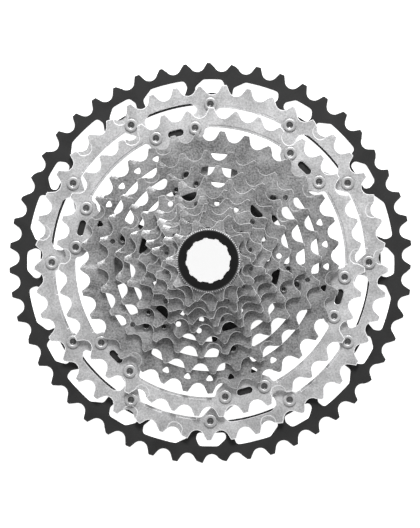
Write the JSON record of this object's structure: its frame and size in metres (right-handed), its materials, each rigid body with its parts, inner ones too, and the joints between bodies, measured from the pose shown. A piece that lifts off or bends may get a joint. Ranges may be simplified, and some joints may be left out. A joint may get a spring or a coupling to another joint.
{
  "type": "cassette sprocket",
  "caption": "Stack of toothed chain sprockets on riveted spiders and a splined bore, closed by a threaded lockring.",
  "frame": {"origin": "centre of the bore on the back face of the largest sprocket", "axes": "+Z along the axle from the largest sprocket to the lockring, +Y to the top of the front view"},
  "size_m": [0.2083, 0.2077, 0.045],
  "materials": {
    "black_anodised": "satin black anodised",
    "bright_silver": "bright satin, lightly grained",
    "satin_steel": "satin nickel plated steel",
    "rivet_steel": "polished steel",
    "spacer_alloy": "matt grey",
    "washer_steel": "bright knurled steel",
    "black_gloss": "gloss black anodised"
  },
  "bodies": {
    "large_cluster": {"sprocket_51t": "black_anodised", "sprocket_45t": "bright_silver", "sprocket_39t": "bright_silver", "rear_spider": "black_anodised", "outer_rivet_1": "rivet_steel", "outer_rivet_2": "rivet_steel", "outer_rivet_3": "rivet_steel", "outer_rivet_4": "rivet_steel", "outer_rivet_5": "rivet_steel", "outer_rivet_6": "rivet_steel", "outer_rivet_7": "rivet_steel", "outer_rivet_8": "rivet_steel", "outer_rivet_9": "rivet_steel", "outer_rivet_10": "rivet_steel", "outer_rivet_11": "rivet_steel", "outer_rivet_12": "rivet_steel", "inner_rivet_1": "rivet_steel", "inner_rivet_2": "rivet_steel", "inner_rivet_3": "rivet_steel", "inner_rivet_4": "rivet_steel", "inner_rivet_5": "rivet_steel", "inner_rivet_6": "rivet_steel", "inner_rivet_7": "rivet_steel", "inner_rivet_8": "rivet_steel", "inner_rivet_9": "rivet_steel", "inner_rivet_10": "rivet_steel", "inner_rivet_11": "rivet_steel", "inner_rivet_12": "rivet_steel"},
    "mid_cluster": {"sprocket_33t": "satin_steel", "sprocket_28t": "satin_steel", "sprocket_24t": "satin_steel", "mid_carrier": "black_anodised", "mid_rivet_1": "rivet_steel", "mid_rivet_2": "rivet_steel", "mid_rivet_3": "rivet_steel", "mid_rivet_4": "rivet_steel", "mid_rivet_5": "rivet_steel", "mid_rivet_6": "rivet_steel", "upper_rivet_1": "rivet_steel", "upper_rivet_2": "rivet_steel", "upper_rivet_3": "rivet_steel", "upper_rivet_4": "rivet_steel", "upper_rivet_5": "rivet_steel", "upper_rivet_6": "rivet_steel"},
    "cog_21": {"sprocket_21t": "satin_steel", "spacer_21_18": "spacer_alloy"},
    "cog_18": {"sprocket_18t": "satin_steel", "spacer_18_16": "spacer_alloy"},
    "cog_16": {"sprocket_16t": "satin_steel", "spacer_16_14": "spacer_alloy"},
    "cog_14": {"sprocket_14t": "satin_steel", "spacer_14_12": "spacer_alloy"},
    "cog_12": {"sprocket_12t": "satin_steel", "spacer_12_10": "spacer_alloy"},
    "cog_10": {"sprocket_10t": "satin_steel"},
    "washer": {"lock_washer": "washer_steel"},
    "lockring": {"lockring": "black_gloss"}
  },
  "joints": [
    {"name": "mid_cluster_slide", "type": "slide", "parent": "large_cluster", "child": "mid_cluster", "axis": [0, 0, 1], "range_m": [0, 0.027]},
    {"name": "cog_21_slide", "type": "slide", "parent": "mid_cluster", "child": "cog_21", "axis": [0, 0, 1], "range_m": [0, 0.0165]},
    {"name": "cog_18_slide", "type": "slide", "parent": "cog_21", "child": "cog_18", "axis": [0, 0, 1], "range_m": [0, 0.0128]},
    {"name": "cog_16_slide", "type": "slide", "parent": "cog_18", "child": "cog_16", "axis": [0, 0, 1], "range_m": [0, 0.0092]},
    {"name": "cog_14_slide", "type": "slide", "parent": "cog_16", "child": "cog_14", "axis": [0, 0, 1], "range_m": [0, 0.0055]},
    {"name": "cog_12_slide", "type": "slide", "parent": "cog_14", "child": "cog_12", "axis": [0, 0, 1], "range_m": [0, 0.003]},
    {"name": "cog_10_slide", "type": "slide", "parent": "cog_12", "child": "cog_10", "axis": [0, 0, 1], "range_m": [0, 0.004]},
    {"name": "washer_slide", "type": "slide", "parent": "cog_10", "child": "washer", "axis": [0, 0, 1], "range_m": [0, 0.0051]},
    {"name": "lockring_turn", "type": "hinge", "parent": "washer", "child": "lockring", "pos_m": [0, 0, 0.04405], "axis": [0, 0, 1], "range_deg": [0, 1800]}
  ],
  "couplings": [
    {"joint": "washer_slide", "follows": "lockring_turn", "m_per_rad": 0.00015915}
  ]
}
